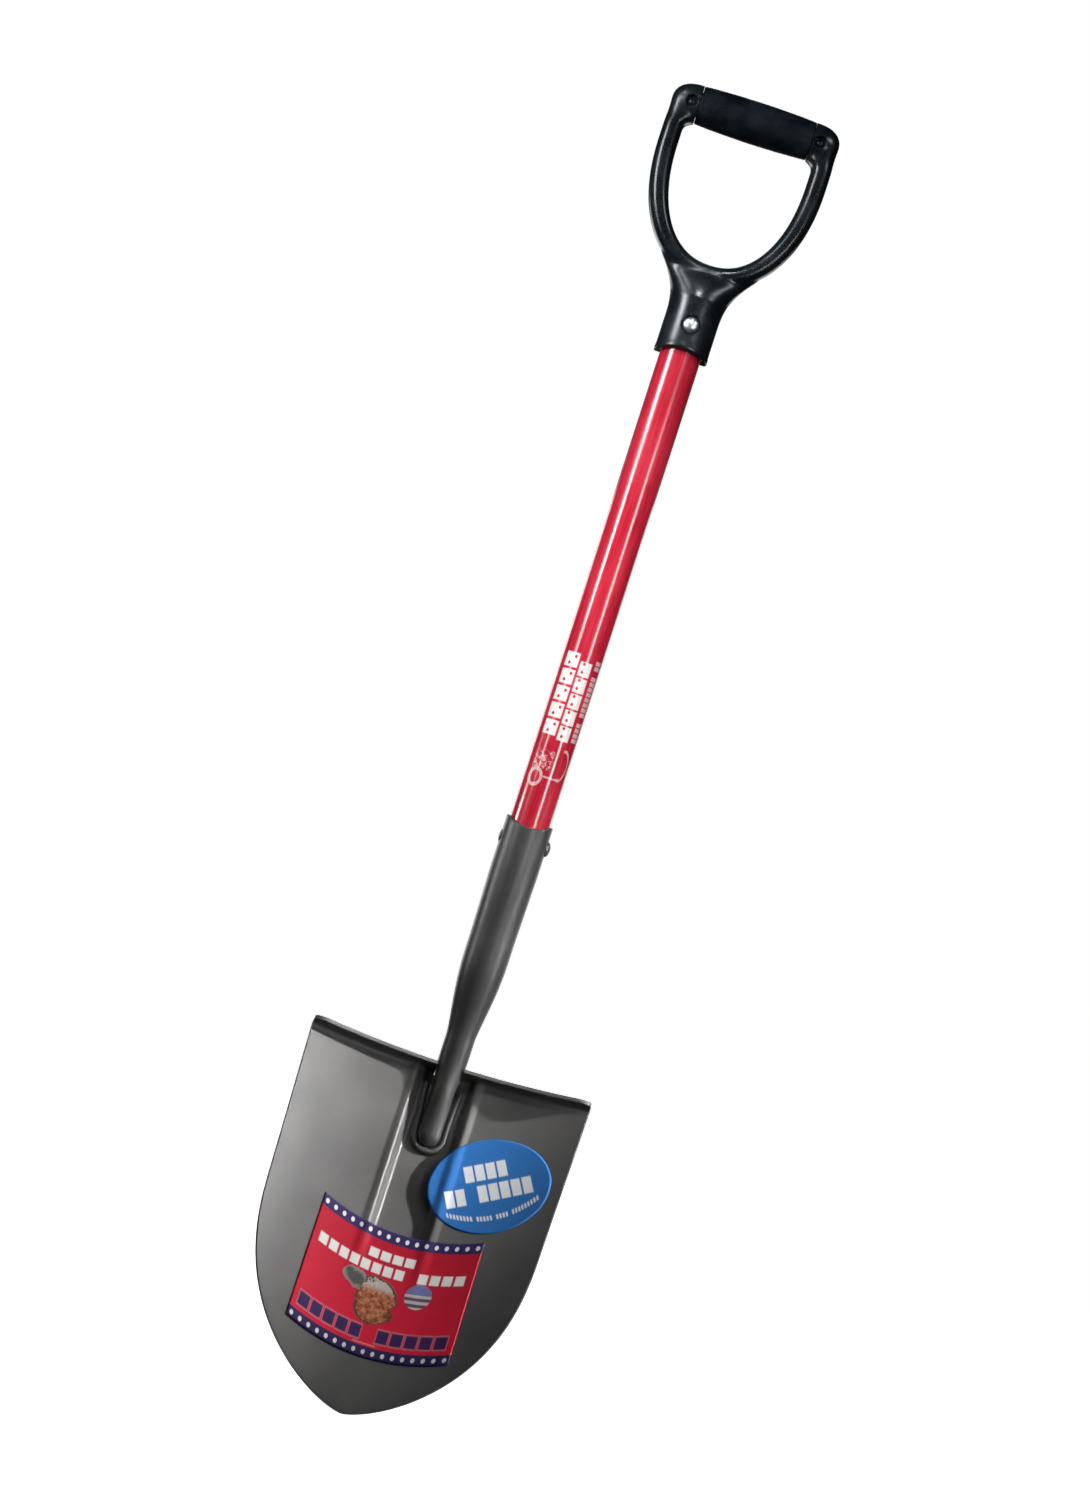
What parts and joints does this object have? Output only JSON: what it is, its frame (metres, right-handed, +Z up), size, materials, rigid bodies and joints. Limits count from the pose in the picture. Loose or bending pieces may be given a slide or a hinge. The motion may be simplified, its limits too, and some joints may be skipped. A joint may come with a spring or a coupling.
{
  "type": "round point shovel",
  "caption": "Round point digging shovel: dished steel blade with forward-turned steps, cranked steel socket, straight red fibreglass shaft and black D-grip.",
  "frame": {"origin": "under the middle of the shovel's bounding box, at the height of the blade's tip", "axes": "+Z up along the shaft from the blade to the D-grip; the scoop's hollow face and the steps face -Y; +X is to the right seen from the front, the side of the socket rivet's head"},
  "size_m": [0.2204, 0.1148, 1.0329],
  "materials": {
    "blade_paint": "satin charcoal paint with a fine grain over 12 gauge steel",
    "socket_paint": "satin charcoal paint",
    "weld_paint": "painted weld bead",
    "red_fibreglass": "glossy crimson fibreglass",
    "plug_plastic": "raw moulded plastic",
    "painted_rivet": "steel rivet painted over",
    "bright_rivet": "bright steel rivet",
    "washer_zinc": "zinc plated",
    "grip_plastic": "glossy black moulded plastic",
    "sleeve_rubber": "matte pebbled overmould",
    "red_label": "printed vinyl sticker, red with navy bands",
    "blue_label": "printed vinyl sticker, blue"
  },
  "bodies": {
    "root": {"blade": "blade_paint", "socket": "socket_paint", "socket_weld": "weld_paint", "shaft": "red_fibreglass", "lower_shaft_plug": "plug_plastic", "upper_shaft_plug": "plug_plastic", "socket_rivet": "painted_rivet", "grip_rivet": "bright_rivet", "grip_rivet_washer": "washer_zinc", "d_grip": "grip_plastic", "grip_sleeve": "sleeve_rubber", "blade_label": "red_label", "oval_label": "blue_label"}
  },
  "joints": []
}
